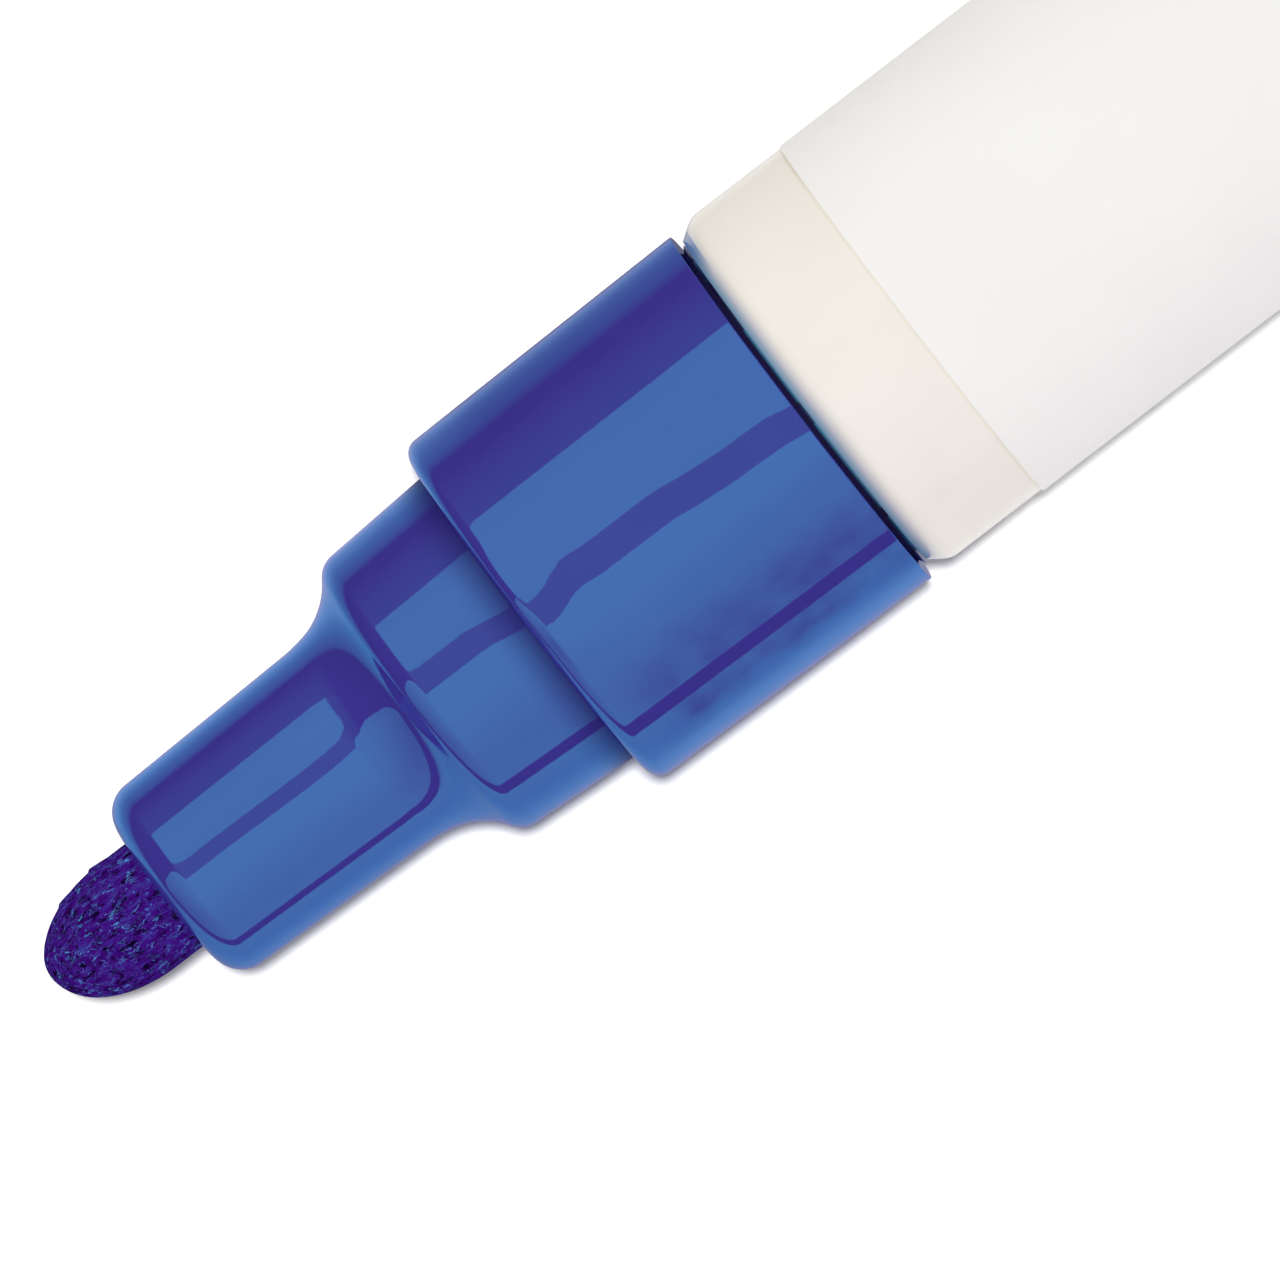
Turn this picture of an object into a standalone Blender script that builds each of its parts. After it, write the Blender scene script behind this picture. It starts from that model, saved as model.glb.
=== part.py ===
"""Whiteboard marker with a bullet nib, uncapped, its cap pushed onto the post at its tail.

The marker lies along X with its nib towards -X, and rests on the plane z = 0. Every piece is turned about
one axis. A station is a distance along that axis in millimetres, counted from the tip of the nib towards
the tail. Radii and thicknesses are in millimetres too.
"""

import math

import bmesh
import bpy
from mathutils import Matrix, Vector

MM = 0.001
SEGMENTS = 48
ARC_STEPS = 4
MERGE_DISTANCE = 1e-6
SHARP_ANGLE = math.radians(35)
FIT_GAP = 0.1
FACE_GAP = 0.3

# Nib
NIB_RADIUS = 2.51
NIB_POINT_LENGTH = 4.2
NIB_LENGTH = 39.0
NIB_TAIL_CHAMFER = 0.6

# Nib holder: sleeve, middle step, collar, neck and spigot, from the front backwards
SLEEVE_FRONT = 5.75
SLEEVE_FRONT_RADIUS = 4.4
SLEEVE_BACK = 17.18
SLEEVE_BACK_RADIUS = 4.73
SLEEVE_ROUNDING = 1.5
STEP_FILLET = 3.4
STEP_FRONT = 18.55
STEP_FRONT_RADIUS = 6.62
STEP_BACK_RADIUS = 6.95
STEP_ROUNDING = 1.1
COLLAR_FRONT = 23.75
COLLAR_BACK = 37.3
COLLAR_FRONT_RADIUS = 8.27
COLLAR_BACK_RADIUS = 8.5
COLLAR_ROUNDING = 0.75
NECK_FRONT_RADIUS = 7.5
NECK_BACK_RADIUS = 7.64
SPIGOT_LENGTH = 8.6
SPIGOT_CHAMFER = 0.4
NIB_TUBE_RADIUS = 3.8
HOLDER_POCKET_FRONT = 20.0
HOLDER_POCKET_RADIUS = 5.3

# Barrel and label
BARREL_FRONT = 37.6
BARREL_BACK = 112.0
BARREL_RADIUS = 8.5
BARREL_BORE = 7.35
SHOULDER_FRONT_RADIUS = 7.75
SHOULDER_LENGTH = 0.8
SHOULDER_ROUNDING = 1.0
LABEL_FRONT = 42.9
LABEL_BACK = 108.0
LABEL_RADIUS = 8.62
LABEL_THICKNESS = 0.09

# Ink reservoir
RESERVOIR_FRONT = 33.0
RESERVOIR_BACK = 106.0
CORE_RADIUS = 6.05
FILM_RADIUS = 6.25
FILM_THICKNESS = 0.15

# Tail plug
PLUG_SKIRT_LENGTH = 8.0
PLUG_FLANGE_LENGTH = 2.9
PLUG_FLANGE_ROUNDING = 0.4
PLUG_BORE = 5.6
POST_RADIUS = 6.9
POST_LENGTH = 9.0
POST_ROUNDING = 0.6
POST_END_WALL = 1.4

# Cap
CAP_LENGTH = 36.0
CAP_END_WALL = 2.3
CAP_END_ROUNDING = 2.0
CAP_BAND_RADIUS = 8.5
CAP_BAND_LENGTH = 5.5
CAP_BAND_SLOPE = 0.6
CAP_GRIP_RADIUS = 8.95
CAP_BORE = POST_RADIUS + FIT_GAP
CAP_MOUTH_CHAMFER = 0.3
CAP_SHOULDER_DEPTH = 12.6
CAP_DEEP_BORE = 6.75
FLUTES = 10
FLUTE_SIDES = 24
FLUTE_RADIUS = 2.4
FLUTE_DEPTH = 0.65
FLUTE_START = CAP_BAND_LENGTH + CAP_BAND_SLOPE / 2
FLUTE_OVERRUN = 1.0
FLUTE_END = CAP_LENGTH + FLUTE_OVERRUN

# Inner seal of the cap: a cup with a flange at its mouth and a lip that grips the sleeve
SEAL_DEPTH = 10.9
SEAL_FLANGE_RADIUS = CAP_BORE - FIT_GAP
SEAL_BODY_RADIUS = CAP_DEEP_BORE - FACE_GAP
SEAL_WALL = 0.85
SEAL_LIP_GAP = 0.25
SEAL_LIP_RADIUS = SLEEVE_FRONT_RADIUS + SEAL_LIP_GAP
SEAL_LIP_LENGTH = 2.3
SEAL_LIP_SLOPE = 0.8

# Derived stations
NIB_BORE = NIB_RADIUS + FIT_GAP
POST_FRONT = BARREL_BACK + FIT_GAP + PLUG_FLANGE_LENGTH
POST_BACK = POST_FRONT + POST_LENGTH
CAP_MOUTH = POST_FRONT + FACE_GAP
TOTAL_LENGTH = CAP_MOUTH + CAP_LENGTH

BLUE_PLASTIC = ("blue_plastic", (0.045, 0.07, 0.33), 0.16)
IVORY_PLASTIC = ("ivory_plastic", (0.83, 0.81, 0.73), 0.3)
LABEL_FILM = ("label_film", (0.88, 0.87, 0.85), 0.45)
INKED_FIBRE = ("inked_fibre", (0.04, 0.02, 0.24), 0.8)
SOAKED_CORE = ("soaked_core", (0.06, 0.08, 0.4), 0.9)
CLEAR_FILM = ("clear_film", (0.7, 0.74, 0.82), 0.2)
NATURAL_PLASTIC = ("natural_plastic", (0.8, 0.82, 0.82), 0.4)


def clear_scene():
    for obj in list(bpy.data.objects):
        bpy.data.objects.remove(obj, do_unlink=True)


def new_collection(name):
    collection = bpy.data.collections.new(name)
    bpy.context.scene.collection.children.link(collection)
    return collection


def plastic(name, colour, roughness):
    """A Principled material, made once for each name."""
    material = bpy.data.materials.get(name) or bpy.data.materials.new(name)
    material.use_nodes = True
    shader = material.node_tree.nodes["Principled BSDF"]
    shader.inputs["Base Color"].default_value = (*colour, 1)
    shader.inputs["Roughness"].default_value = roughness
    shader.inputs["Metallic"].default_value = 0
    return material


def round_corner(before, corner, after, rounding):
    """Points of the arc that rounds one corner of an outline."""
    here = Vector(corner)
    towards = [(Vector(end) - here).normalized() for end in (before, after)]
    half_angle = towards[0].angle(towards[1]) / 2
    centre = here + (towards[0] + towards[1]).normalized() * rounding / math.sin(half_angle)
    reach = rounding / math.tan(half_angle)
    start, end = ((here + way * reach - centre).normalized() for way in towards)
    spokes = (start.slerp(end, step / ARC_STEPS) for step in range(ARC_STEPS + 1))
    return [tuple(centre + spoke * rounding) for spoke in spokes]


def outline(*corners):
    """(station, radius) points through these corners; a third number rounds a corner to that radius."""
    points = []
    for index, (station, radius, *rounding) in enumerate(corners):
        if rounding:
            before = corners[index - 1][:2]
            after = corners[index + 1][:2]
            points += round_corner(before, (station, radius), after, rounding[0])
        else:
            points.append((station, radius))
    return points


def turned(name, points, look, closed=False):
    """Turns an outline, which runs towards the tail along the outside, into a solid on the marker's axis.

    A closed outline makes a piece with a hole right through it. An open one starts and ends on the axis.
    The first facet is centred under the marker, so that it lies on a flat.
    """
    lean = math.pi / SEGMENTS
    profile = bmesh.new()
    rim = [
        profile.verts.new((radius * math.cos(lean) * MM, radius * math.sin(lean) * MM, station * MM))
        for station, radius in reversed(points)
    ]
    for first, second in zip(rim, rim[1:]):
        profile.edges.new((first, second))
    if closed:
        profile.edges.new((rim[-1], rim[0]))
    mesh = bpy.data.meshes.new(name)
    profile.to_mesh(mesh)
    profile.free()
    mesh.materials.append(plastic(*look))
    obj = bpy.data.objects.new(name, mesh)
    parts.objects.link(obj)
    obj.parent = marker_axis
    screw = obj.modifiers.new("turn", "SCREW")
    screw.axis = "Z"
    screw.steps = SEGMENTS
    screw.render_steps = SEGMENTS
    screw.use_merge_vertices = True
    screw.merge_threshold = MERGE_DISTANCE
    return obj


def settle(obj):
    """Keeps the modifiers' result as the mesh, smooth with its real edges sharp."""
    bpy.context.view_layer.update()
    evaluated = obj.evaluated_get(bpy.context.evaluated_depsgraph_get())
    mesh = bpy.data.meshes.new_from_object(evaluated)
    mesh.name = obj.name
    obj.modifiers.clear()
    obj.data = mesh
    mesh.shade_smooth()
    mesh.set_sharp_from_angle(angle=SHARP_ANGLE)


def make_nib():
    steps = 9
    turns = [math.pi / 2 * step / steps for step in range(steps + 1)]
    point = [
        (NIB_POINT_LENGTH * (1 - math.cos(turn)), NIB_RADIUS * math.sin(turn))
        for turn in turns
    ]
    tail = [
        (NIB_LENGTH - NIB_TAIL_CHAMFER, NIB_RADIUS),
        (NIB_LENGTH, NIB_RADIUS - NIB_TAIL_CHAMFER),
        (NIB_LENGTH, 0),
    ]
    settle(turned("nib", point + tail, INKED_FIBRE))


def make_nib_holder():
    spigot_radius = BARREL_BORE - FIT_GAP
    neck_back = BARREL_FRONT - FIT_GAP
    spigot_back = neck_back + SPIGOT_LENGTH
    seat_radius = FILM_RADIUS + FIT_GAP
    seat_front = RESERVOIR_FRONT - FACE_GAP
    shape = outline(
        (SLEEVE_FRONT, NIB_BORE),
        (SLEEVE_FRONT, SLEEVE_FRONT_RADIUS, SLEEVE_ROUNDING),
        (SLEEVE_BACK, SLEEVE_BACK_RADIUS, STEP_FILLET),
        (STEP_FRONT, STEP_FRONT_RADIUS, STEP_ROUNDING),
        (COLLAR_FRONT, STEP_BACK_RADIUS),
        (COLLAR_FRONT, COLLAR_FRONT_RADIUS, COLLAR_ROUNDING),
        (COLLAR_BACK, COLLAR_BACK_RADIUS),
        (COLLAR_BACK, NECK_FRONT_RADIUS),
        (neck_back, NECK_BACK_RADIUS),
        (neck_back, spigot_radius),
        (spigot_back - SPIGOT_CHAMFER, spigot_radius),
        (spigot_back, spigot_radius - SPIGOT_CHAMFER),
        (spigot_back, seat_radius),
        (seat_front, seat_radius),
        (seat_front, HOLDER_POCKET_RADIUS),
        (HOLDER_POCKET_FRONT, HOLDER_POCKET_RADIUS),
        (HOLDER_POCKET_FRONT, NIB_TUBE_RADIUS),
        (seat_front, NIB_TUBE_RADIUS),
        (seat_front, NIB_BORE),
    )
    settle(turned("nib_holder", shape, BLUE_PLASTIC, closed=True))


def make_barrel():
    shape = outline(
        (BARREL_FRONT, BARREL_BORE),
        (BARREL_FRONT, SHOULDER_FRONT_RADIUS),
        (BARREL_FRONT + SHOULDER_LENGTH, BARREL_RADIUS, SHOULDER_ROUNDING),
        (BARREL_BACK, BARREL_RADIUS),
        (BARREL_BACK, BARREL_BORE),
    )
    settle(turned("barrel", shape, IVORY_PLASTIC, closed=True))


def make_label_sleeve():
    inside = LABEL_RADIUS - LABEL_THICKNESS
    shape = outline(
        (LABEL_FRONT, inside),
        (LABEL_FRONT, LABEL_RADIUS),
        (LABEL_BACK, LABEL_RADIUS),
        (LABEL_BACK, inside),
    )
    settle(turned("label_sleeve", shape, LABEL_FILM, closed=True))


def make_ink_reservoir():
    """The fibre core, with the hole that the nib's tail fills."""
    hole_back = NIB_LENGTH + FACE_GAP
    shape = outline(
        (hole_back, 0),
        (hole_back, NIB_BORE),
        (RESERVOIR_FRONT, NIB_BORE),
        (RESERVOIR_FRONT, CORE_RADIUS),
        (RESERVOIR_BACK, CORE_RADIUS),
        (RESERVOIR_BACK, 0),
    )
    settle(turned("ink_reservoir", shape, SOAKED_CORE))


def make_reservoir_film():
    inside = FILM_RADIUS - FILM_THICKNESS
    shape = outline(
        (RESERVOIR_FRONT, inside),
        (RESERVOIR_FRONT, FILM_RADIUS),
        (RESERVOIR_BACK, FILM_RADIUS),
        (RESERVOIR_BACK, inside),
    )
    settle(turned("reservoir_film", shape, CLEAR_FILM, closed=True))


def make_tail_plug():
    """Skirt in the barrel, flange behind it and a hollow post that is closed at its end."""
    flange_front = BARREL_BACK + FIT_GAP
    skirt_front = flange_front - PLUG_SKIRT_LENGTH
    skirt_radius = BARREL_BORE - FIT_GAP
    seat_radius = FILM_RADIUS + FIT_GAP
    seat_back = RESERVOIR_BACK + FACE_GAP
    bore_back = POST_BACK - POST_END_WALL
    shape = outline(
        (bore_back, 0),
        (bore_back, PLUG_BORE),
        (seat_back, PLUG_BORE),
        (seat_back, seat_radius),
        (skirt_front, seat_radius),
        (skirt_front, skirt_radius - SPIGOT_CHAMFER),
        (skirt_front + SPIGOT_CHAMFER, skirt_radius),
        (flange_front, skirt_radius),
        (flange_front, BARREL_RADIUS),
        (POST_FRONT, BARREL_RADIUS, PLUG_FLANGE_ROUNDING),
        (POST_FRONT, POST_RADIUS),
        (POST_BACK, POST_RADIUS, POST_ROUNDING),
        (POST_BACK, 0),
    )
    settle(turned("tail_plug", shape, BLUE_PLASTIC))


def make_flute_cutter():
    """Round bars round the cap, one of them centred underneath. They run out past its closed end."""
    bars = bmesh.new()
    middle = CAP_MOUTH + (FLUTE_START + FLUTE_END) / 2
    orbit = CAP_GRIP_RADIUS + FLUTE_RADIUS - FLUTE_DEPTH
    for index in range(FLUTES):
        turn = Matrix.Rotation(2 * math.pi * index / FLUTES, 4, "Z")
        place = Matrix.Translation((orbit * MM, 0, middle * MM))
        bmesh.ops.create_cone(
            bars,
            cap_ends=True,
            segments=FLUTE_SIDES,
            radius1=FLUTE_RADIUS * MM,
            radius2=FLUTE_RADIUS * MM,
            depth=(FLUTE_END - FLUTE_START) * MM,
            matrix=turn @ place,
        )
    mesh = bpy.data.meshes.new("flute_cutter")
    bars.to_mesh(mesh)
    bars.free()
    cutter = bpy.data.objects.new("flute_cutter", mesh)
    cutters.objects.link(cutter)
    cutter.parent = marker_axis
    cutter.hide_render = True
    cutter.display_type = "WIRE"
    return cutter


def make_cap_shell():
    cap_back = TOTAL_LENGTH
    bore_back = cap_back - CAP_END_WALL
    shoulder = CAP_MOUTH + CAP_SHOULDER_DEPTH
    band_back = CAP_MOUTH + CAP_BAND_LENGTH
    shape = outline(
        (bore_back, 0),
        (bore_back, CAP_DEEP_BORE),
        (shoulder, CAP_DEEP_BORE),
        (shoulder, CAP_BORE),
        (CAP_MOUTH + CAP_MOUTH_CHAMFER, CAP_BORE),
        (CAP_MOUTH, CAP_BORE + CAP_MOUTH_CHAMFER),
        (CAP_MOUTH, CAP_BAND_RADIUS),
        (band_back, CAP_BAND_RADIUS),
        (band_back + CAP_BAND_SLOPE, CAP_GRIP_RADIUS),
        (cap_back, CAP_GRIP_RADIUS, CAP_END_ROUNDING),
        (cap_back, 0),
    )
    cap = turned("cap_shell", shape, BLUE_PLASTIC)
    cut = cap.modifiers.new("flutes", "BOOLEAN")
    cut.operation = "DIFFERENCE"
    cut.solver = "EXACT"
    cut.object = make_flute_cutter()
    settle(cap)


def make_cap_inner_seal():
    front = CAP_MOUTH + SEAL_DEPTH
    back = TOTAL_LENGTH - CAP_END_WALL - FACE_GAP
    flange_back = CAP_MOUTH + CAP_SHOULDER_DEPTH - FACE_GAP
    lip_back = front + SEAL_LIP_LENGTH
    inside = SEAL_BODY_RADIUS - SEAL_WALL
    shape = outline(
        (back - SEAL_WALL, 0),
        (back - SEAL_WALL, inside),
        (lip_back + SEAL_LIP_SLOPE, inside),
        (lip_back, SEAL_LIP_RADIUS),
        (front, SEAL_LIP_RADIUS),
        (front, SEAL_FLANGE_RADIUS),
        (flange_back, SEAL_FLANGE_RADIUS),
        (flange_back, SEAL_BODY_RADIUS),
        (back, SEAL_BODY_RADIUS),
        (back, 0),
    )
    settle(turned("cap_inner_seal", shape, NATURAL_PLASTIC))


def rest_on_floor():
    """Lifts the axis until the lowest point of all the pieces is at z = 0."""
    bpy.context.view_layer.update()
    solids = [obj for obj in parts.objects if obj.type == "MESH"]
    lowest = min((obj.matrix_world @ vertex.co).z for obj in solids for vertex in obj.data.vertices)
    marker_axis.location.z -= lowest


clear_scene()
parts = new_collection("whiteboard_marker")
cutters = new_collection("cutters")

marker_axis = bpy.data.objects.new("marker_axis", None)
parts.objects.link(marker_axis)
marker_axis.location = (-TOTAL_LENGTH / 2 * MM, 0, CAP_GRIP_RADIUS * MM)
marker_axis.rotation_euler = (0, math.radians(90), 0)

make_nib()
make_nib_holder()
make_barrel()
make_label_sleeve()
make_ink_reservoir()
make_reservoir_film()
make_tail_plug()
make_cap_shell()
make_cap_inner_seal()
rest_on_floor()
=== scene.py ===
"""Looks of the whiteboard marker: fine turned surfaces, materials, studio light and the camera.

The marker lies along X with its nib towards -X, as in the CAD frame. A station is a distance in millimetres
from the tip of the nib along the axis, and radii are in millimetres too. The ends and the largest radius of a
piece are read from the box of its CAD node, and the constants hold the rest.
"""

import math

import bmesh
import bpy
import numpy as np
from mathutils import Matrix, Vector


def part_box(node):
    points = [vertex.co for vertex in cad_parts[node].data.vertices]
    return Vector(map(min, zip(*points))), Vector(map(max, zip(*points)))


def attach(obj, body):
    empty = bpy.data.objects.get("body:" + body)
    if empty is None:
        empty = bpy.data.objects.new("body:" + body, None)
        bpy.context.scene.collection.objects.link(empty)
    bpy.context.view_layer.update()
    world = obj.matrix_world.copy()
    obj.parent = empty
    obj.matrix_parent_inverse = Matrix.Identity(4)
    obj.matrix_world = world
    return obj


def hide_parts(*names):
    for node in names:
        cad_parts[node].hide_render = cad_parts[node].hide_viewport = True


MM = 0.001
TURNS = 288
ARC_STEPS = 16
LONGEST_RING = 0.4
MERGE_DISTANCE = 1e-7
SHARP_ANGLE = math.radians(38)
FIT_GAP = 0.1
FACE_GAP = 0.3

# Nib: each flake has a station, a length and a height
NIB_POINT_LENGTH = 4.2
NIB_POINT_STEPS = 60
NIB_LONGEST_RING = 0.1
NIB_TAIL_CHAMFER = 0.6
NIB_SWELL = 1.018
NIB_SIDE = -0.04
NIB_TIP_SHIFT = 0.14
NIB_TIP_REACH = 0.35
FLAKES = ((1.9, 0.75, 0.09), (3.68, 1.0, 0.1))
FLAKE_EDGE = 0.12
FLAKE_NARROWNESS = 6

# Nib holder, from the front backwards
SLEEVE_REACH = 0.1
SLEEVE_FRONT_RADIUS = 4.4
SLEEVE_BACK = 15.29
SLEEVE_BACK_RADIUS = 4.675
SLEEVE_ROUNDING = 1.33
SLEEVE_EASING = 5
FLARE_BACK = 17.34
FLARE_BACK_RADIUS = 4.95
STEP_FILLET = 3.2
STEP_FRONT = 18.43
STEP_FRONT_RADIUS = 6.62
STEP_BACK_RADIUS = 6.95
STEP_ROUNDING = 1.1
COLLAR_FRONT = 23.75
COLLAR_BACK = 37.3
COLLAR_FRONT_RADIUS = 8.27
COLLAR_ROUNDING = 0.65
COLLAR_EDGE = 0.05
NECK_FRONT_RADIUS = 7.62
NECK_BACK_RADIUS = 7.9
POCKET_FRONT = 20.0
POCKET_RADIUS = 5.3
NIB_TUBE_RADIUS = 3.8
NIB_BORE = 2.61
SEAT_RADIUS = 6.35
HOLDER_SIDE = -0.08

# Hollows along the top of the holder: a station, and the degrees by which they tilt the surface there
DRIFT = (
    (6, 0.4), (9, 0.3), (13, 1.1), (14.6, 0.8), (15, 0), (22, 0.2), (23.75, 2.6), (23.85, 0.5), (24.1, 1.5),
    (24.4, 6.2), (24.9, 5.2), (26.3, 1.8), (27.4, 2.6), (31, 2.7), (32, 3.8), (34, 4.9), (36, 5.3), (37.3, 7),
)
DRIFT_WIDTH = 0.3

# Painted shade, and haze, on the holder: each pair is where a mark starts and where it is at its full
# strength, as stations or as millimetres from the axis towards +Y
STEP_SHADE_LENGTH = 1.6
GROOVE_FRONT = (COLLAR_BACK, COLLAR_BACK + 0.02)
GROOVE_BACK = (38.2, 38.1)
HAZE_FRONT = (24.5, 27)
HAZE_TOP = (-3.4, -5.6)
HAZE_FOOT = (-7.8, -7)

# Barrel and label
BARREL_BORE = 7.35
BARREL_SIDE = 0.05
SHOULDER_FRONT_RADIUS = 7.93
SHOULDER_LENGTH = 0.8
SHOULDER_ROUNDING = 1.0
# Band towards +Y, in millimetres, where the painted bounce light and shade on the barrel's front is strongest
PAINTED_BOUNCE_SIDE = (6.2, 7.4)
LABEL_THICKNESS = 0.09
LABEL_TRIM = 0.03

# Tail plug
PLUG_FLANGE_LENGTH = 2.9
PLUG_FLANGE_ROUNDING = 0.4
PLUG_BORE = 5.6
PLUG_END_WALL = 1.4
POST_RADIUS = 6.9
POST_ROUNDING = 0.6

# Cap
CAP_BORE = POST_RADIUS + FIT_GAP
CAP_MOUTH_CHAMFER = 0.3
CAP_MOUTH_ROUNDING = 0.15
CAP_SHOULDER_DEPTH = 12.6
CAP_DEEP_BORE = 6.75
CAP_END_WALL = 2.3
CAP_END_ROUNDING = 2.0
CAP_BAND_RADIUS = 8.5
CAP_BAND_LENGTH = 5.5
CAP_BAND_SLOPE = 0.6
FLUTES = 10
FLUTE_RADIUS = 2.4
FLUTE_DEPTH = 0.65
FLUTE_RUN_IN = CAP_BAND_SLOPE / 2
FLUTE_START = CAP_BAND_LENGTH + FLUTE_RUN_IN

# The picture: how wide it is, the station and side that its middle looks at, and from where
VIEW_WIDTH = 50.6
VIEW_STATION = 26.64
VIEW_SIDE = -3.5
VIEW_ROLL = 37.5
VIEW_LEAN = 2.4
VIEW_LENS = 590
VIEW_CLIP = (0.01, 20)
SENSOR = 36

# Softboxes on a dome over the nib end. Degrees across go from straight up towards +Y, and along towards +X.
# The upper box's nib end goes by a share of its width, and every other edge by degrees along.
STUDIO_STATION = 20
DOME_RADIUS = 0.6
BACKDROP_RADIUS = 0.61
TAIL_END = 30
UPPER_NIB_END = ((0, -10.8), (0.1, -17.2), (0.25, -18.15), (1, -16.55))
UPPER_NEAR_EDGE = ((-10.3, 19), (-8.6, 16.8), (-6.5, 16.2), (-4.5, 17.2))
UPPER_FAR_EDGE = ((-8, 60.8), (-4.5, 62))
LOWER_NIB_END = -86.4
LOWER_TOP_EDGE = (
    (-86.4, 33), (-78, 31), (-60, 21), (-33, 17), (-22, 12.5), (-18.5, 8), (-14.5, 0.4), (-7, 0.3),
    (-4.5, -0.9), (30, -1.5),
)
LOWER_FOOT_LEVEL = ((-86.5, 0.061), (-80, 0.08), (-60, 0.1), (-5, 0.035))

# Light of the floor that the marker mirrors, by millimetres from the axis towards +Y, and what multiplies it
# beside the collar
FLOOR_GLOW = (
    (-110, 0), (-96, 0), (-93, 1.22), (-18, 1.24), (-12, 1.12), (-8, 0.95), (-5, 0.8), (0, 0.8), (5, 0.95),
    (6, 1.1), (8, 1.36), (10.5, 1.38), (12.5, 1.2), (16, 1.02), (20, 0.82), (24, 0.72), (28, 0.6), (33, 0.42),
    (38, 0.15), (42, 0),
)
COLLAR_GLOW = (
    (-17, 1.07), (-14, 1.05), (-12, 1), (-9, 0.95), (9, 0.3), (10, 0.48), (12, 0.85), (14, 0.8), (17, 0.62),
)
COLLAR_GLOW_STATIONS = (22, 26)
FADING_STATIONS = (-150, -40)
REFLECTION_LEVEL = -0.0002

# Lamps; each side lamp has degrees from straight up towards +Y, a strength and a colour
LAMP_TILT_ALONG = 3.06
LAMP_TILT_ACROSS = 2.05
LAMP_SPREAD = 3.4
OVERHEAD_STRENGTH = 0.7
FLOOR_LIFT_STRENGTH = 0.28
SIDE_LAMPS = {"left": (75, 0.1, (1, 0.9, 0.6)), "right": (-82, 0.12, (1, 0.85, 1))}
SIDE_LAMP_SIZE = 0.7
AMBIENT_STRENGTH = 0.3
FLOOR_REACH = 4
FLOOR_LEVEL = -0.0001

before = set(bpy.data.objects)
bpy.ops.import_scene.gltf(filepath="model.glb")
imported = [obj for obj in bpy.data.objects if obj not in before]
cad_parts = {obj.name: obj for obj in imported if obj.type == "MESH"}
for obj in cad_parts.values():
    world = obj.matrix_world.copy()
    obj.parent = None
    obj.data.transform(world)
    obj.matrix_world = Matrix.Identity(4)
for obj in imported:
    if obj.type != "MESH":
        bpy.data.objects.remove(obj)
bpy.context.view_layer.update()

axis_height = sum(corner.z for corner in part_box("barrel")) / 2
tip_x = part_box("nib")[0].x


def at(station):
    """World x of a station."""
    return tip_x + station * MM


def span(node):
    """First and last station of a CAD node, and its largest radius."""
    low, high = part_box(node)
    return (low.x - tip_x) / MM, (high.x - tip_x) / MM, (high.y - low.y) / 2 / MM


def straight(value, stops):
    """Levels read off the straight lines between (position, level) stops."""
    positions, levels = zip(*stops)
    return np.interp(value, positions, levels)


def eased(value, stops):
    """Levels between (position, level) stops, joined by curves that are level at each stop."""
    positions, levels = zip(*stops)
    steps = range(len(stops))
    position = np.interp(value, positions, steps)
    whole = np.floor(position)
    part = position - whole
    return np.interp(whole + part * part * (3 - 2 * part), steps, levels)


# ---------------------------------------------------------------- turned shapes

def round_corner(before, corner, after, rounding):
    """Points of the arc that rounds one corner of an outline."""
    here = Vector(corner)
    towards = [(Vector(end) - here).normalized() for end in (before, after)]
    half_angle = towards[0].angle(towards[1]) / 2
    centre = here + (towards[0] + towards[1]).normalized() * rounding / math.sin(half_angle)
    reach = rounding / math.tan(half_angle)
    start, end = ((here + way * reach - centre).normalized() for way in towards)
    spokes = (start.slerp(end, step / ARC_STEPS) for step in range(ARC_STEPS + 1))
    return [tuple(centre + spoke * rounding) for spoke in spokes]


def outline(*corners):
    """(station, radius) points through these corners; a third number rounds a corner to that radius."""
    points = []
    for index, (station, radius, *rounding) in enumerate(corners):
        if rounding:
            before = corners[index - 1][:2]
            after = corners[(index + 1) % len(corners)][:2]
            points += round_corner(before, (station, radius), after, rounding[0])
        else:
            points.append((station, radius))
    return points


def fine(points, longest):
    """The same outline with its long straight runs cut into short ones."""
    result = []
    for start, end in zip(points, points[1:]):
        parts = max(1, math.ceil(math.dist(start, end) / longest))
        for step in range(parts):
            share = step / parts
            result.append(tuple(a + (b - a) * share for a, b in zip(start, end)))
    return result + [points[-1]]


def add_mesh(name, corners, faces):
    """A new object in the scene with this mesh."""
    mesh = bpy.data.meshes.new(name)
    mesh.from_pydata(corners, [], faces)
    piece = bpy.data.objects.new(name, mesh)
    bpy.context.scene.collection.objects.link(piece)
    return piece


def ring_faces(rings, closed):
    """Faces from each ring of points to the next, and from the last to the first on a closed outline."""
    faces = []
    for ring in range(rings if closed else rings - 1):
        here = ring * TURNS
        there = (ring + 1) % rings * TURNS
        for turn in range(TURNS):
            beside = (turn + 1) % TURNS
            faces.append((here + turn, there + turn, there + beside, here + beside))
    return faces


def finish_mesh(mesh):
    """Joins the points that lie on the axis, turns the faces outwards and smooths all but sharp edges."""
    build = bmesh.new()
    build.from_mesh(mesh)
    bmesh.ops.remove_doubles(build, verts=build.verts, dist=MERGE_DISTANCE)
    bmesh.ops.recalc_face_normals(build, faces=build.faces)
    build.to_mesh(mesh)
    build.free()
    mesh.shade_smooth()
    mesh.set_sharp_from_angle(angle=SHARP_ANGLE)


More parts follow.
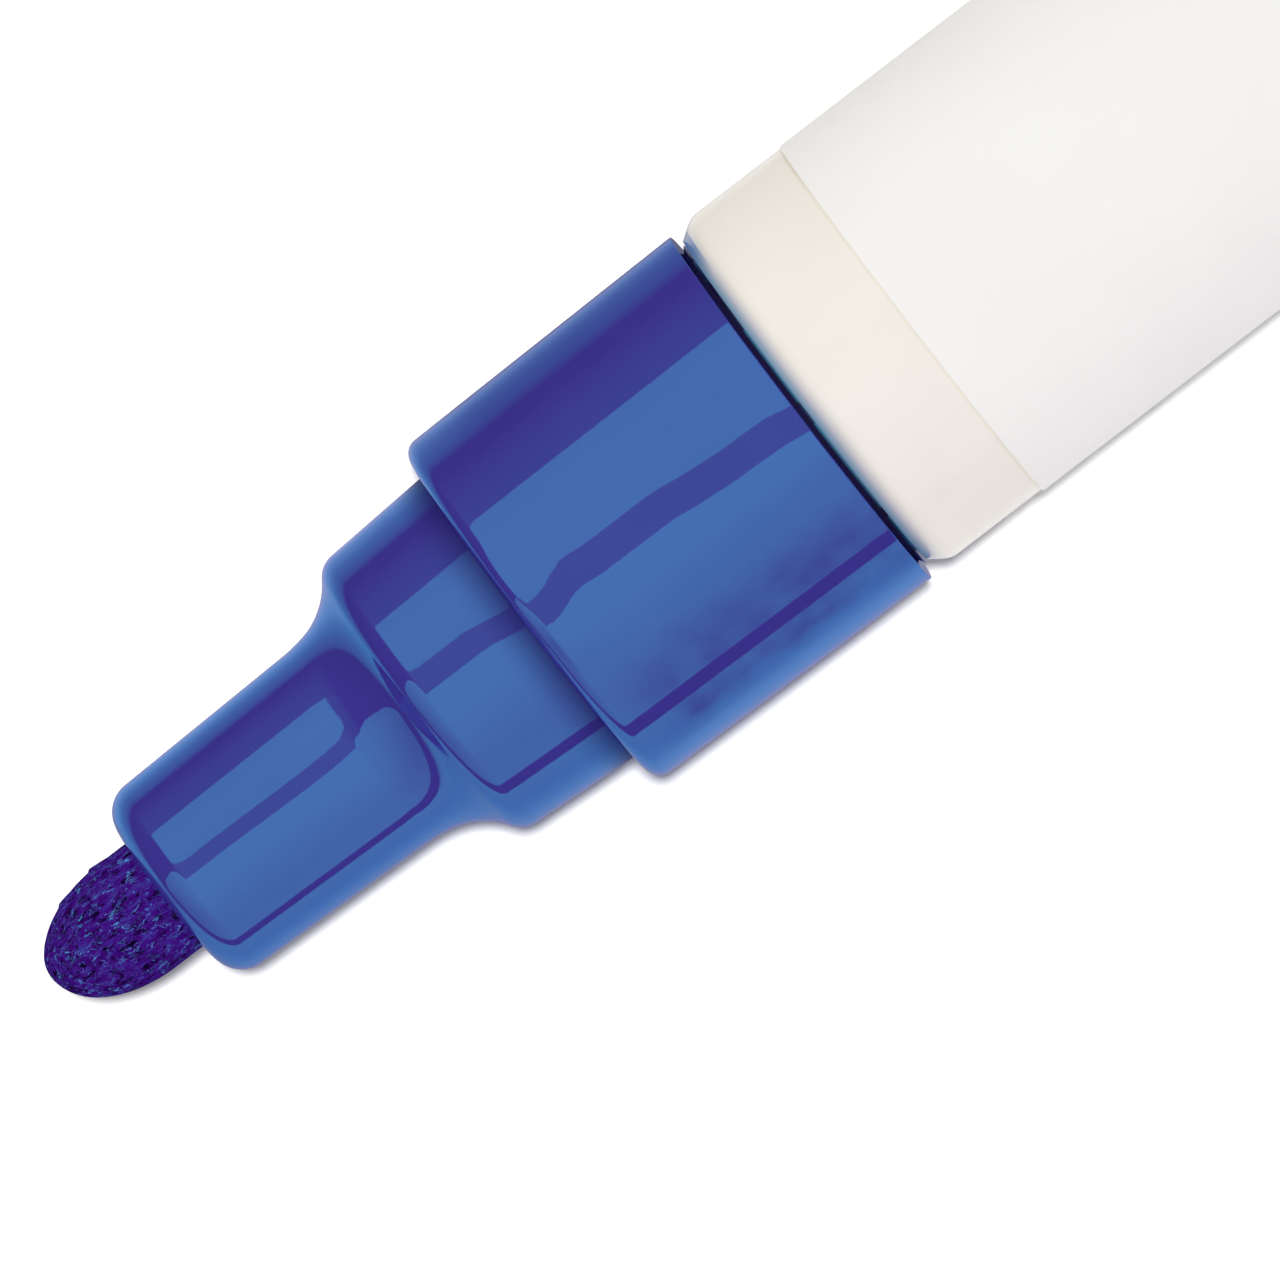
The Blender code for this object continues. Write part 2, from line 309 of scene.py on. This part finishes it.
def turned(name, points, closed=False, reshape=None, longest=LONGEST_RING, side=0):
    """A smooth body of revolution, its axis moved by side millimetres towards +Y.

    reshape(stations, angles, radii) returns new radii; angle 0 is straight up and grows towards +Y.
    """
    points = fine(points + points[:1], longest)[:-1] if closed else fine(points, longest)
    stations = np.array([point[0] for point in points])[:, None]
    radii = np.array([point[1] for point in points])[:, None] * np.ones((1, TURNS))
    angles = np.linspace(-math.pi, math.pi, TURNS, endpoint=False)[None, :]
    if reshape:
        radii = reshape(stations, angles, radii)
    x = tip_x + stations * MM + 0 * radii
    y = (side + radii * np.sin(angles)) * MM
    z = axis_height + radii * np.cos(angles) * MM
    corners = np.stack([x, y, z], axis=-1).reshape(-1, 3)
    piece = add_mesh(name, corners.tolist(), ring_faces(len(points), closed))
    finish_mesh(piece.data)
    return piece


def dress(piece, body, material, node):
    """Puts a piece on its body in place of its CAD node."""
    piece.data.materials.append(material)
    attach(piece, body)
    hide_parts(node)


# ---------------------------------------------------------------- material tools

def node_adder(tree):
    """Empties a node tree and returns the function that adds nodes to it.

    add(kind, links, values) links sockets to other nodes' outputs and sets sockets to plain values.
    """
    tree.nodes.clear()

    def add(kind, links=None, **values):
        node = tree.nodes.new("ShaderNode" + kind)
        for socket, value in values.items():
            node.inputs[socket.replace("_", " ")].default_value = value
        for socket, source in (links or {}).items():
            tree.links.new(source, node.inputs[socket])
        return node

    return add


def new_material(name):
    """An empty node material and the function that adds nodes to it."""
    material = bpy.data.materials.new(name)
    material.use_nodes = True
    return material, node_adder(material.node_tree)


def ramp(add, source, *stops):
    """Colours by position, from (position, colour) stops."""
    node = add("ValToRGB", {"Fac": source})
    elements = node.color_ramp.elements
    while len(elements) < len(stops):
        elements.new(0.5)
    for element, (position, colour) in zip(elements, stops):
        element.position = position
        element.color = (*colour, 1)
    return node.outputs["Color"]


def grey(value):
    return (value, value, value)


def coordinates(add):
    """Object coordinates, and each of their three numbers."""
    place = add("TexCoord").outputs["Object"]
    return place, add("SeparateXYZ", {"Vector": place}).outputs


def noise(add, place, scale, detail, distortion=0):
    node = add("TexNoise", {"Vector": place}, Scale=scale, Detail=detail, Distortion=distortion)
    return node.outputs["Fac"]


def rise(add, source, start, end):
    """0 up to start, 1 from end on, and a straight rise between; end may lie below start."""
    return add("MapRange", {"Value": source}, From_Min=start, From_Max=end).outputs["Result"]


def rise_along(add, axes, start, end):
    """The same rise from one station to another."""
    return rise(add, axes["X"], at(start), at(end))


def rise_across(add, axes, start, end):
    """The same rise between two distances from the axis, in millimetres towards +Y."""
    return rise(add, axes["Y"], start * MM, end * MM)


def times(add, first, second):
    """Product of two values; the second may be a plain number."""
    if isinstance(second, float):
        node = add("Math", {0: first})
        node.inputs[1].default_value = second
    else:
        node = add("Math", {0: first, 1: second})
    node.operation = "MULTIPLY"
    return node.outputs["Value"]


def mixed(add, share, first, second):
    """The first colour where share is 0, the second where it is 1; the second may be a plain colour."""
    if isinstance(second, tuple):
        node = add("MixRGB", {"Fac": share, "Color1": first}, Color2=(*second, 1))
    else:
        node = add("MixRGB", {"Fac": share, "Color1": first, "Color2": second})
    return node.outputs["Color"]


def multiplied(add, first, second, share=1):
    """The first colour, multiplied by a share of the second."""
    node = add("MixRGB", {"Color1": first, "Color2": second}, Fac=share)
    node.blend_type = "MULTIPLY"
    return node.outputs["Color"]


# ---------------------------------------------------------------- materials

def moulded_surface(add, place):
    """Normal of polished plastic: slow waves under a very fine grain."""
    waves = add("Bump", {"Height": noise(add, place, 260, 1)}, Strength=0.5, Distance=0.00001)
    links = {"Height": noise(add, place, 2600, 3), "Normal": waves.outputs["Normal"]}
    return add("Bump", links, Strength=0.015, Distance=0.00005).outputs["Normal"]


def collar_haze(add, place, axes):
    """Cloudy patches on the -Y flank of everything behind the front of the collar."""
    flank = times(add, rise_across(add, axes, *HAZE_TOP), rise_across(add, axes, *HAZE_FOOT))
    behind = rise_along(add, axes, *HAZE_FRONT)
    patches = rise(add, noise(add, place, 520, 5), 0.25, 0.7)
    return times(add, times(add, times(add, flank, behind), patches), 0.9)


def step_shade(add, axes):
    """Painted shade: white, but for greys over the end of the step, where the collar stands above it."""
    return ramp(
        add, rise_along(add, axes, COLLAR_FRONT - STEP_SHADE_LENGTH, COLLAR_FRONT),
        (0, grey(1)), (0.3, grey(0.86)), (0.65, grey(0.5)), (0.98, grey(0.15)), (1, grey(1)),
    )


def painted_groove_shade(add, axes):
    """Painted shade in the groove: nearly 1 on the neck between the collar and the barrel, and 0 elsewhere.
    """
    inside = times(add, rise_along(add, axes, *GROOVE_FRONT), rise_along(add, axes, *GROOVE_BACK))
    return times(add, inside, 0.9)


def blue_plastic():
    """Dark blue under a sharp cyan gloss, which turns pale where the surface is seen at a slant."""
    material, add = new_material("glossy_blue_plastic")
    place, axes = coordinates(add)
    normal = moulded_surface(add, place)
    shade = step_shade(add, axes)
    dark_blue = ramp(
        add, noise(add, place, 180, 4), (0.3, (0.046, 0.034, 0.286)), (0.7, (0.05, 0.037, 0.302))
    )
    # Painted shade: darker blue at the end of the step, nearly black in the neck groove.
    shaded_blue = multiplied(add, dark_blue, shade, share=0.5)
    base = mixed(add, painted_groove_shade(add, axes), shaded_blue, (0.027, 0.019, 0.05))
    links = {"Base Color": base, "Normal": normal}
    body = add("BsdfPrincipled", links, Roughness=0.5, Specular_IOR_Level=0)
    slant = add("Fresnel", {"Normal": normal}, IOR=2.0).outputs["Fac"]
    tint = ramp(
        add, slant,
        (0.13, (0.09, 0.7, 1)), (0.15, (0.06, 0.57, 1)), (0.19, (0.1, 0.56, 1)), (0.24, (0.17, 0.58, 1)),
        (0.31, (0.21, 0.53, 0.92)), (0.43, (0.3, 0.46, 0.78)), (0.63, (0.36, 0.38, 0.58)),
        (0.82, (0.32, 0.33, 0.48)),
    )
    hazy = mixed(add, collar_haze(add, place, axes), tint, (0.02, 0.14, 0.2))
    # Painted shade also darkens the gloss over the end of the step.
    links = {"Color": multiplied(add, hazy, shade), "Normal": normal}
    gloss = add("BsdfAnisotropic", links, Roughness=0.035)
    mix = add("MixShader", {0: slant, 1: body.outputs["BSDF"], 2: gloss.outputs["BSDF"]})
    add("OutputMaterial", {"Surface": mix.outputs["Shader"]})
    return material


def plain_surface(name, low, high, roughness, cloud_scale=150, specular=0.5, painted_light=None):
    """A surface with a slow drift between two close tints and a fine grain.

    If given, the last argument is called with add and the colour, and returns it with painted light and shade
    laid over it.
    """
    material, add = new_material(name)
    place = add("TexCoord").outputs["Object"]
    colour = ramp(add, noise(add, place, cloud_scale, 5), (0.3, low), (0.7, high))
    if painted_light:
        colour = painted_light(add, colour)
    bump = add("Bump", {"Height": noise(add, place, 3000, 2)}, Strength=0.05, Distance=0.00005)
    links = {"Base Color": colour, "Normal": bump.outputs["Normal"]}
    shader = add("BsdfPrincipled", links, Roughness=roughness, Specular_IOR_Level=specular)
    add("OutputMaterial", {"Surface": shader.outputs["BSDF"]})
    return material


def painted_bounce_and_shade(add, colour):
    """Painted bounce light from the blue collar and shade on the barrel's front, strongest on its +Y side."""
    front = span("barrel")[0]
    label_front = span("label_sleeve")[0]
    length = label_front - front
    axes = coordinates(add)[1]
    along = rise_along(add, axes, front, label_front)

    def painted_from_front(*marks):
        """Colours from marks that give millimetres behind the front of the barrel."""
        return ramp(add, along, *((behind / length, tint) for behind, tint in marks))

    # The last two stops of each ramp paint the thin shadow along the front edge of the label.
    most = painted_from_front(
        (0, (0.2, 0.36, 0.64)), (0.12, (0.34, 0.53, 0.74)), (0.2, (0.44, 0.57, 0.74)),
        (0.28, (0.6, 0.65, 0.82)), (0.36, (0.74, 0.76, 0.88)), (0.45, (0.83, 0.86, 0.93)),
        (0.55, (0.94, 0.95, 0.97)), (0.7, grey(1)),
        (length - 0.16, grey(1)), (length - 0.06, (0.95, 0.93, 0.89)),
    )
    side = painted_from_front(
        (0, (0.16, 0.3, 0.66)), (0.36, (0.2, 0.34, 0.66)), (0.42, (0.85, 0.87, 0.93)), (0.7, grey(1)),
        (length - 0.16, grey(1)), (length - 0.06, (0.88, 0.84, 0.77)),
    )
    return multiplied(add, colour, mixed(add, rise_across(add, axes, *PAINTED_BOUNCE_SIDE), most, side))


def threads(add, along, seed):
    """Thin broken curls: the level lines of one noise, kept where another is high."""
    shifted = add("Mapping", {"Vector": along}, Location=(seed, seed, seed)).outputs["Vector"]
    levels = noise(add, shifted, 5200, 1, distortion=0.8)
    lines = ramp(add, levels, (0.465, grey(0)), (0.5, grey(1)), (0.535, grey(0)))
    kept = ramp(add, noise(add, shifted, 3800, 1), (0.44, grey(0)), (0.52, grey(1)))
    return times(add, lines, kept)


def inked_fibre():
    """Matted fibres soaked in violet ink along the axis: blue threads, painted cyan glints and pit shade."""
    material, add = new_material("inked_fibre")
    place = add("TexCoord").outputs["Object"]
    along = add("Mapping", {"Vector": place}, Scale=(0.5, 1, 1)).outputs["Vector"]
    patches = noise(add, along, 2800, 5)
    colour = ramp(
        add, patches,
        (0.36, (0.016, 0.001, 0.06)), (0.44, (0.038, 0.003, 0.155)), (0.6, (0.048, 0.006, 0.215)),
        (0.7, (0.045, 0.03, 0.27)),
    )
    # Thread colour: brighter blue fibres rising to painted cyan highlights.
    thread_and_glint = ramp(
        add, noise(add, along, 4400, 2),
        (0.42, (0.05, 0.03, 0.26)), (0.54, (0.05, 0.1, 0.42)), (0.62, (0.07, 0.24, 0.56)),
        (0.68, (0.1, 0.44, 0.9)),
    )
    for seed in (0.0, 0.31):
        colour = mixed(add, threads(add, along, seed), colour, thread_and_glint)
    # Painted shade: near-black specks in the pits between the fibres.
    painted_pit_shade = ramp(add, noise(add, along, 4600, 3), (0.35, grey(1)), (0.41, grey(0)))
    pit_shaded = mixed(add, painted_pit_shade, colour, (0.004, 0.001, 0.015))
    bump = add("Bump", {"Height": patches}, Strength=0.6, Distance=0.0001)
    links = {"Base Color": pit_shaded, "Normal": bump.outputs["Normal"]}
    shader = add("BsdfPrincipled", links, Roughness=0.4, Specular_IOR_Level=0)
    add("OutputMaterial", {"Surface": shader.outputs["BSDF"]})
    return material


def pale_floor():
    material, add = new_material("pale_floor")
    place = add("TexCoord").outputs["Object"]
    colour = ramp(add, noise(add, place, 4, 2), (0.3, grey(0.94)), (0.7, grey(0.95)))
    shader = add("BsdfPrincipled", {"Base Color": colour}, Roughness=0.9, Specular_IOR_Level=0)
    add("OutputMaterial", {"Surface": shader.outputs["BSDF"]})
    return material


def card_glow():
    """Light whose strength is written on the mesh."""
    material, add = new_material("card_glow")
    glow = add("Attribute")
    glow.attribute_name = "glow"
    light = add("Emission", {"Strength": glow.outputs["Fac"]})
    add("OutputMaterial", {"Surface": light.outputs["Emission"]})
    return material


# ---------------------------------------------------------------- pieces

def uneven_moulding(stations, angles, radii):
    """Faint hollows along the top of the holder, which bend the lines that it mirrors there."""
    tilt = np.radians(eased(stations, DRIFT))
    return radii * (1 - tilt * angles * np.exp(-((angles / DRIFT_WIDTH) ** 4)))


def make_nib_holder(material):
    front, back, collar_back_radius = span("nib_holder")
    sleeve_front = front - SLEEVE_REACH
    neck_back = span("barrel")[0] - FIT_GAP
    spigot_radius = BARREL_BORE - FIT_GAP
    seat_front = span("ink_reservoir")[0] - FACE_GAP
    shape = outline(
        (sleeve_front, NIB_BORE),
        (sleeve_front, SLEEVE_FRONT_RADIUS, SLEEVE_ROUNDING),
        (SLEEVE_BACK, SLEEVE_BACK_RADIUS, SLEEVE_EASING),
        (FLARE_BACK, FLARE_BACK_RADIUS, STEP_FILLET),
        (STEP_FRONT, STEP_FRONT_RADIUS, STEP_ROUNDING),
        (COLLAR_FRONT, STEP_BACK_RADIUS),
        (COLLAR_FRONT, COLLAR_FRONT_RADIUS, COLLAR_ROUNDING),
        (COLLAR_BACK, collar_back_radius, COLLAR_EDGE),
        (COLLAR_BACK, NECK_FRONT_RADIUS),
        (neck_back, NECK_BACK_RADIUS),
        (neck_back, spigot_radius),
        (back, spigot_radius),
        (back, SEAT_RADIUS),
        (seat_front, SEAT_RADIUS),
        (seat_front, POCKET_RADIUS),
        (POCKET_FRONT, POCKET_RADIUS),
        (POCKET_FRONT, NIB_TUBE_RADIUS),
        (seat_front, NIB_TUBE_RADIUS),
        (seat_front, NIB_BORE),
    )
    piece = turned("nib_holder_moulding", shape, closed=True, reshape=uneven_moulding, side=HOLDER_SIDE)
    dress(piece, "marker", material, "nib_holder")


def worn_nib(stations, angles, radii):
    """The nib as used: its tip rubbed to one side, and two flakes of fibre standing up from its +Y flank."""
    rubbed = NIB_TIP_SHIFT * np.exp(-stations / NIB_TIP_REACH) * np.sin(angles)
    radii = np.where(radii > 0, np.maximum(radii + rubbed, 0), radii)
    flank = np.clip(np.sin(angles), 0, 1) ** FLAKE_NARROWNESS
    for start, length, height in FLAKES:
        behind = stations - start
        rising = np.clip(behind / FLAKE_EDGE, 0, 1)
        falling = np.clip(1 - behind / length, 0, 1)
        radii = radii + height * flank * rising * falling
    return radii


def make_nib(material):
    _, length, cad_radius = span("nib")
    radius = cad_radius * NIB_SWELL
    turns = [math.pi / 2 * step / NIB_POINT_STEPS for step in range(NIB_POINT_STEPS + 1)]
    point = [(NIB_POINT_LENGTH * (1 - math.cos(turn)), radius * math.sin(turn)) for turn in turns]
    tail = [(length - NIB_TAIL_CHAMFER, radius), (length, radius - NIB_TAIL_CHAMFER), (length, 0)]
    piece = turned("bullet_nib", point + tail, reshape=worn_nib, longest=NIB_LONGEST_RING, side=NIB_SIDE)
    dress(piece, "marker", material, "nib")


def make_barrel(material):
    front, back, radius = span("barrel")
    shape = outline(
        (front, BARREL_BORE),
        (front, SHOULDER_FRONT_RADIUS),
        (front + SHOULDER_LENGTH, radius, SHOULDER_ROUNDING),
        (back, radius),
        (back, BARREL_BORE),
    )
    piece = turned("barrel_tube", shape, closed=True, side=BARREL_SIDE)
    dress(piece, "marker", material, "barrel")


def make_label(material):
    front, back, radius = span("label_sleeve")
    inside = radius - LABEL_THICKNESS
    outside = radius - LABEL_TRIM
    shape = outline((front, inside), (front, outside), (back, outside), (back, inside))
    piece = turned("label_wrap", shape, closed=True, side=BARREL_SIDE)
    dress(piece, "marker", material, "label_sleeve")


def make_tail_plug(material):
    front, back, radius = span("tail_plug")
    bore_back = back - PLUG_END_WALL
    seat_back = span("ink_reservoir")[1] + FACE_GAP
    skirt_radius = BARREL_BORE - FIT_GAP
    flange_front = span("barrel")[1] + FIT_GAP
    flange_back = flange_front + PLUG_FLANGE_LENGTH
    shape = outline(
        (bore_back, 0),
        (bore_back, PLUG_BORE),
        (seat_back, PLUG_BORE),
        (seat_back, SEAT_RADIUS),
        (front, SEAT_RADIUS),
        (front, skirt_radius),
        (flange_front, skirt_radius),
        (flange_front, radius),
        (flange_back, radius, PLUG_FLANGE_ROUNDING),
        (flange_back, POST_RADIUS),
        (back, POST_RADIUS, POST_ROUNDING),
        (back, 0),
    )
    piece = turned("tail_plug_moulding", shape)
    dress(piece, "marker", material, "tail_plug")


def fluted(stations, angles, radii):
    """Cuts the round flutes, one of them centred underneath, out of the grip of the cap."""
    mouth, _, grip_radius = span("cap_shell")
    orbit = grip_radius + FLUTE_RADIUS - FLUTE_DEPTH
    pitch = 2 * math.pi / FLUTES
    beside = (angles - math.pi + pitch / 2) % pitch - pitch / 2
    reach = np.sqrt(np.clip(FLUTE_RADIUS**2 - (orbit * np.sin(beside)) ** 2, 0, None))
    floor = np.where(reach > 0, orbit * np.cos(beside) - reach, grip_radius)
    depth = np.clip((stations - mouth - FLUTE_START) / FLUTE_RUN_IN, 0, 1)
    allowed = grip_radius - (grip_radius - floor) * depth
    outside = radii > CAP_BORE + CAP_MOUTH_CHAMFER
    return np.where(outside, np.minimum(radii, allowed), radii)


def make_cap(material):
    mouth, back, grip_radius = span("cap_shell")
    bore_back = back - CAP_END_WALL
    shoulder = mouth + CAP_SHOULDER_DEPTH
    band_back = mouth + CAP_BAND_LENGTH
    shape = outline(
        (bore_back, 0),
        (bore_back, CAP_DEEP_BORE),
        (shoulder, CAP_DEEP_BORE),
        (shoulder, CAP_BORE),
        (mouth + CAP_MOUTH_CHAMFER, CAP_BORE),
        (mouth, CAP_BORE + CAP_MOUTH_CHAMFER),
        (mouth, CAP_BAND_RADIUS, CAP_MOUTH_ROUNDING),
        (band_back, CAP_BAND_RADIUS),
        (band_back + CAP_BAND_SLOPE, grip_radius),
        (back, grip_radius, CAP_END_ROUNDING),
        (back, 0),
    )
    piece = turned("fluted_cap", shape, reshape=fluted)
    dress(piece, "cap", material, "cap_shell")


def recolour(node, material):
    """Gives its material to a CAD node that no piece replaces."""
    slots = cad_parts[node].data.materials
    slots.clear()
    slots.append(material)


# ---------------------------------------------------------------- studio

def card(name, first, second, place, glow, material, steps=64):
    """A sheet that only reflections show, over two ranges of numbers.

    place(a, b) gives a point and glow(a, b) the strength of the light there.
    """
    a, b = np.meshgrid(np.linspace(*first, steps), np.linspace(*second, steps), indexing="ij")
    corners = np.stack(place(a, b), axis=-1).reshape(-1, 3)
    faces = []
    for row in range(steps - 1):
        for column in range(steps - 1):
            here = row * steps + column
            faces.append((here, here + 1, here + steps + 1, here + steps))
    sheet = add_mesh(name, corners.tolist(), faces)
    values = sheet.data.attributes.new("glow", "FLOAT", "POINT")
    values.data.foreach_set("value", glow(a, b).ravel().astype(np.float32))
    sheet.data.materials.append(material)
    sheet.visible_camera = False
    sheet.visible_diffuse = False
    sheet.visible_shadow = False


def on_dome(across, along, radius=DOME_RADIUS):
    """Point of the dome at these degrees across and along."""
    across, along = np.radians(across), np.radians(along)
    return (
        at(STUDIO_STATION) + radius * np.sin(along),
        radius * np.cos(along) * np.sin(across),
        axis_height + radius * np.cos(along) * np.cos(across),
    )


def upper_place(width_share, length_share):
    """The upper softbox: its near edge bends, and its end towards the nib is bowed."""
    nib_end = straight(width_share, UPPER_NIB_END)
    along = nib_end + length_share * (TAIL_END - nib_end)
    near = straight(along, UPPER_NEAR_EDGE)
    far = straight(along, UPPER_FAR_EDGE)
    return on_dome(near + width_share * (far - near), along)


def upper_glow(width_share, length_share):
    return straight(width_share, ((0, 1.45), (0.6, 1.5), (1, 1.33)))


def lower_place(height_share, along):
    """The lower softbox: it stands just above the floor, and beyond the upper one its top edge steps up."""
    top = straight(along, LOWER_TOP_EDGE)
    level = straight(along, LOWER_FOOT_LEVEL)
    foot = -np.degrees(np.arccos(np.clip(level / np.cos(np.radians(along)), 0, 1)))
    return on_dome(foot + height_share * (top - foot), along)


def lower_glow(height_share, along):
    upwards = straight(height_share, ((0, 1.12), (0.3, 1.16), (0.55, 1.42), (0.8, 1.6), (1, 1.6)))
    return upwards * straight(along, ((-86, 0.45), (-60, 0.62), (-20, 0.88), (-14, 1)))


def backdrop_place(across, along):
    return on_dome(across, along, BACKDROP_RADIUS)


def backdrop_glow(across, along):
    """Dim light that shows past the far edge of the upper softbox, and in the gap between the boxes."""
    outwards = straight(across, ((55, 0.42), (62, 0.24), (80, 0.16), (100, 0)))
    return outwards * straight(along, ((-24, 0), (-14, 1)))


def reflection_place(x, y):
    """A sheet just under the floor, at x in metres and y in millimetres."""
    return x, y * MM, REFLECTION_LEVEL + 0 * x


def floor_glow(x, y):
    """Light of the floor as the marker mirrors it: it dies away to both sides and towards -X."""
    collar = np.interp(x, [at(station) for station in COLLAR_GLOW_STATIONS], (0, 1))
    beside_collar = 1 + collar * (straight(y, COLLAR_GLOW) - 1)
    fading = np.interp(x, [at(station) for station in FADING_STATIONS], (0, 1))
    return straight(y, FLOOR_GLOW) * beside_collar * fading


def make_cards():
    material = card_glow()
    card("upper_softbox", (0, 1), (0, 1), upper_place, upper_glow, material)
    card("lower_softbox", (0, 1), (LOWER_NIB_END, TAIL_END), lower_place, lower_glow, material, steps=128)
    card("backdrop", (-6, 100), (-24, TAIL_END), backdrop_place, backdrop_glow, material)
    card("floor_reflection", (-0.3, 0.3), (-110, 60), reflection_place, floor_glow, material, steps=171)


def add_lamp(name, kind, place, target, colour=(1, 1, 1), **settings):
    """A lamp that faces the target, and that mirrors and the camera don't see."""
    data = bpy.data.lights.new(name, kind)
    data.color = colour
    for setting, value in settings.items():
        setattr(data, setting, value)
    lamp = bpy.data.objects.new(name, data)
    bpy.context.scene.collection.objects.link(lamp)
    turn = (place - target).to_track_quat("Z", "Y").to_matrix().to_4x4()
    lamp.matrix_world = Matrix.Translation(place) @ turn
    lamp.visible_glossy = False
    lamp.visible_camera = False
    return lamp


def make_lamps(floor):
    """A sun overhead, one more for the floor only, and a soft lamp at each side."""
    target = Vector((at(STUDIO_STATION), 0, axis_height))
    tilts = (math.tan(math.radians(degrees)) for degrees in (LAMP_TILT_ALONG, LAMP_TILT_ACROSS))
    sun = target + Vector((*tilts, 1))
    spread = math.radians(LAMP_SPREAD)
    add_lamp("overhead", "SUN", sun, target, energy=OVERHEAD_STRENGTH * math.pi, angle=spread)
    lift = add_lamp("floor_lift", "SUN", sun, target, energy=FLOOR_LIFT_STRENGTH * math.pi, angle=spread)
    floor_only = bpy.data.collections.new("floor_only")
    floor_only.objects.link(floor)
    lift.light_linking.receiver_collection = floor_only
    for name, (degrees, strength, colour) in SIDE_LAMPS.items():
        way = Vector((0, math.sin(math.radians(degrees)), math.cos(math.radians(degrees))))
        add_lamp(
            name, "AREA", target + way, target, colour, shape="RECTANGLE",
            size=SIDE_LAMP_SIZE, size_y=SIDE_LAMP_SIZE, energy=strength * math.pi**2,
        )


def make_world():
    """Even light from all round, which mirrors don't see."""
    world = bpy.data.worlds.new("studio")
    world.use_nodes = True
    add = node_adder(world.node_tree)
    mirrored = add("LightPath").outputs["Is Glossy Ray"]
    strength = add("MapRange", {"Value": mirrored}, To_Min=AMBIENT_STRENGTH, To_Max=0)
    light = add("Background", {"Strength": strength.outputs["Result"]}, Color=(1, 1, 1, 1))
    add("OutputWorld", {"Surface": light.outputs["Background"]})
    bpy.context.scene.world = world


def make_floor():
    corners = [(-FLOOR_REACH, -FLOOR_REACH, 0), (FLOOR_REACH, -FLOOR_REACH, 0)]
    corners += [(FLOOR_REACH, FLOOR_REACH, 0), (-FLOOR_REACH, FLOOR_REACH, 0)]
    floor = add_mesh("floor", corners, [(0, 1, 2, 3)])
    floor.data.materials.append(pale_floor())
    floor.location.z = FLOOR_LEVEL
    floor.visible_glossy = False
    return floor


def make_camera():
    """A long lens high above the front of the marker, rolled so that the marker lies across the picture."""
    camera = bpy.data.cameras.new("camera")
    camera.lens = VIEW_LENS
    camera.sensor_width = SENSOR
    camera.clip_start, camera.clip_end = VIEW_CLIP
    holder = bpy.data.objects.new("camera", camera)
    bpy.context.scene.collection.objects.link(holder)
    lean, roll = math.radians(VIEW_LEAN), math.radians(VIEW_ROLL)
    back = Vector((math.sin(lean), 0, math.cos(lean)))
    along = Vector((math.cos(lean), 0, -math.sin(lean)))
    side = Vector((0, 1, 0))
    right = along * math.cos(roll) - side * math.sin(roll)
    up = along * math.sin(roll) + side * math.cos(roll)
    middle = Vector((at(VIEW_STATION), VIEW_SIDE * MM, axis_height))
    distance = VIEW_WIDTH * MM * VIEW_LENS / SENSOR
    turn = Matrix((right, up, back)).transposed().to_4x4()
    holder.matrix_world = Matrix.Translation(middle + back * distance) @ turn
    bpy.context.scene.camera = holder
    bpy.context.scene.view_settings.view_transform = "Standard"


# ---------------------------------------------------------------- all together

blue = blue_plastic()
# The ivory carries painted bounce light and shade at the front of the barrel.
ivory = plain_surface(
    "ivory_plastic_look", (0.83, 0.79, 0.73), (0.86, 0.825, 0.77), 0.14, specular=0.1, painted_light=painted_bounce_and_shade
)
label = plain_surface("label_look", (0.86, 0.85, 0.835), (0.875, 0.87, 0.855), 0.45, specular=0.12)
film = plain_surface("film_look", (0.7, 0.74, 0.82), (0.72, 0.76, 0.84), 0.2)
natural = plain_surface("natural_look", (0.78, 0.8, 0.8), (0.82, 0.84, 0.84), 0.4)
core = plain_surface("soaked_core_look", (0.05, 0.06, 0.34), (0.07, 0.1, 0.44), 0.9, cloud_scale=900)
fibre = inked_fibre()

make_camera()
make_lamps(make_floor())
make_world()
make_cards()
make_nib_holder(blue)
make_nib(fibre)
make_barrel(ivory)
make_label(label)
make_tail_plug(blue)
make_cap(blue)
recolour("cap_inner_seal", natural)
recolour("ink_reservoir", core)
recolour("reservoir_film", film)
